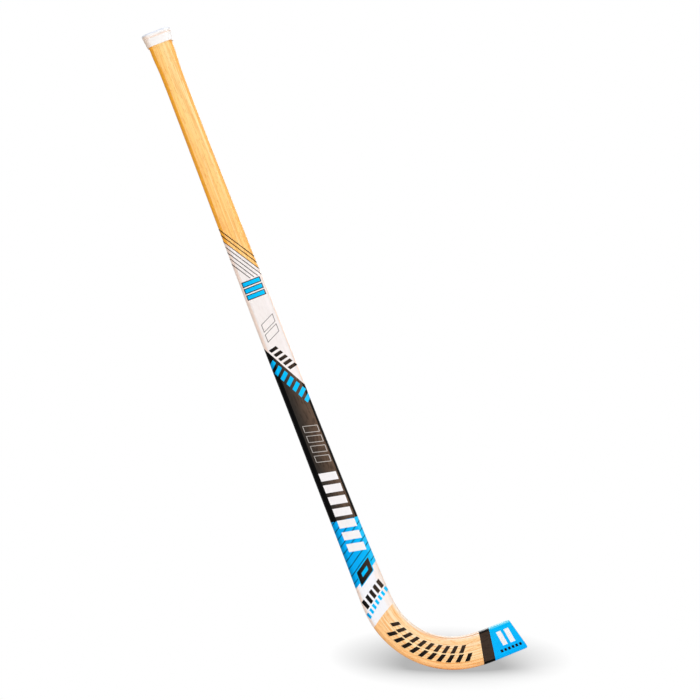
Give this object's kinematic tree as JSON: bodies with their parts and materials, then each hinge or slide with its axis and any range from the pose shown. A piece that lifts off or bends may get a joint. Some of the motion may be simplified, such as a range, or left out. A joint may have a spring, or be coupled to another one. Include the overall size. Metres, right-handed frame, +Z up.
{
  "type": "roller hockey stick",
  "caption": "Roller hockey stick of bent, glued wood strips with a hooked blade, a white push-on butt cap, and white, black and blue film wraps on shaft and toe.",
  "frame": {"origin": "on the floor plane under the middle of the stick's bounding box, with the lowest point of the blade at Z = 0", "axes": "+Z up with the stick held upright as in play, +X from the butt's side towards the toe, Y through the thickness; the stick's mid-plane is Y = 0"},
  "size_m": [0.5452, 0.0296, 0.9094],
  "materials": {
    "ash_wood": "clear satin lacquer over straight grain",
    "light_wood": "clear satin lacquer over straight grain",
    "white_film": "printed self-adhesive film, glossy",
    "black_film": "printed self-adhesive film, glossy",
    "blue_film": "printed self-adhesive film, glossy",
    "white_plastic": "moulded, fine matt"
  },
  "bodies": {
    "root": {"core_lamination": "light_wood", "throat_wedge": "light_wood", "throat_lamination_inner": "ash_wood", "throat_lamination_middle": "ash_wood", "throat_lamination_edge": "ash_wood", "heel_wedge": "light_wood", "heel_lamination_inner": "ash_wood", "heel_lamination_middle": "ash_wood", "heel_lamination_edge": "ash_wood", "upper_white_wrap": "white_film", "black_wrap": "black_film", "blue_wrap": "blue_film", "lower_white_wrap": "white_film", "toe_black_band": "black_film", "toe_blue_wrap": "blue_film", "butt_cap": "white_plastic"}
  },
  "joints": []
}
